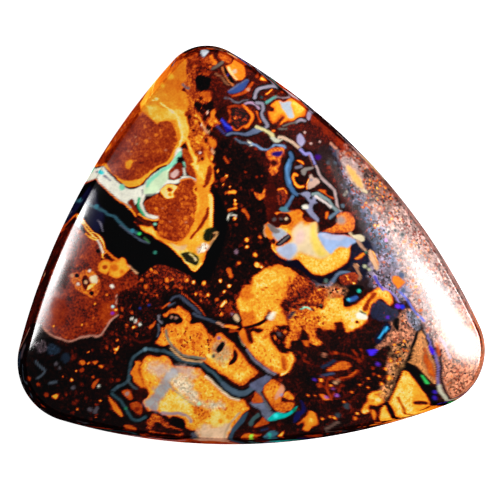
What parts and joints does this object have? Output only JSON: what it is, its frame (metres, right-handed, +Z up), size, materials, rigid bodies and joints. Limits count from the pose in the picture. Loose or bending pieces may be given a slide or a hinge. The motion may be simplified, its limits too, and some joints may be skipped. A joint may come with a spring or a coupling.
{
  "type": "polished boulder opal cabochon",
  "caption": "Freeform rounded-triangle cabochon of ironstone with opal in its seams, low domed polished face, leaning side wall and flat ground back.",
  "frame": {"origin": "on the flat back, under the middle of the stone's bounding box", "axes": "+Z up out of the domed face, +X along the long lower side to the right, +Y towards the narrow corner"},
  "size_m": [0.04, 0.034, 0.0055],
  "materials": {
    "opal_ironstone": "polished"
  },
  "bodies": {
    "root": {"boulder_opal": "opal_ironstone"}
  },
  "joints": []
}
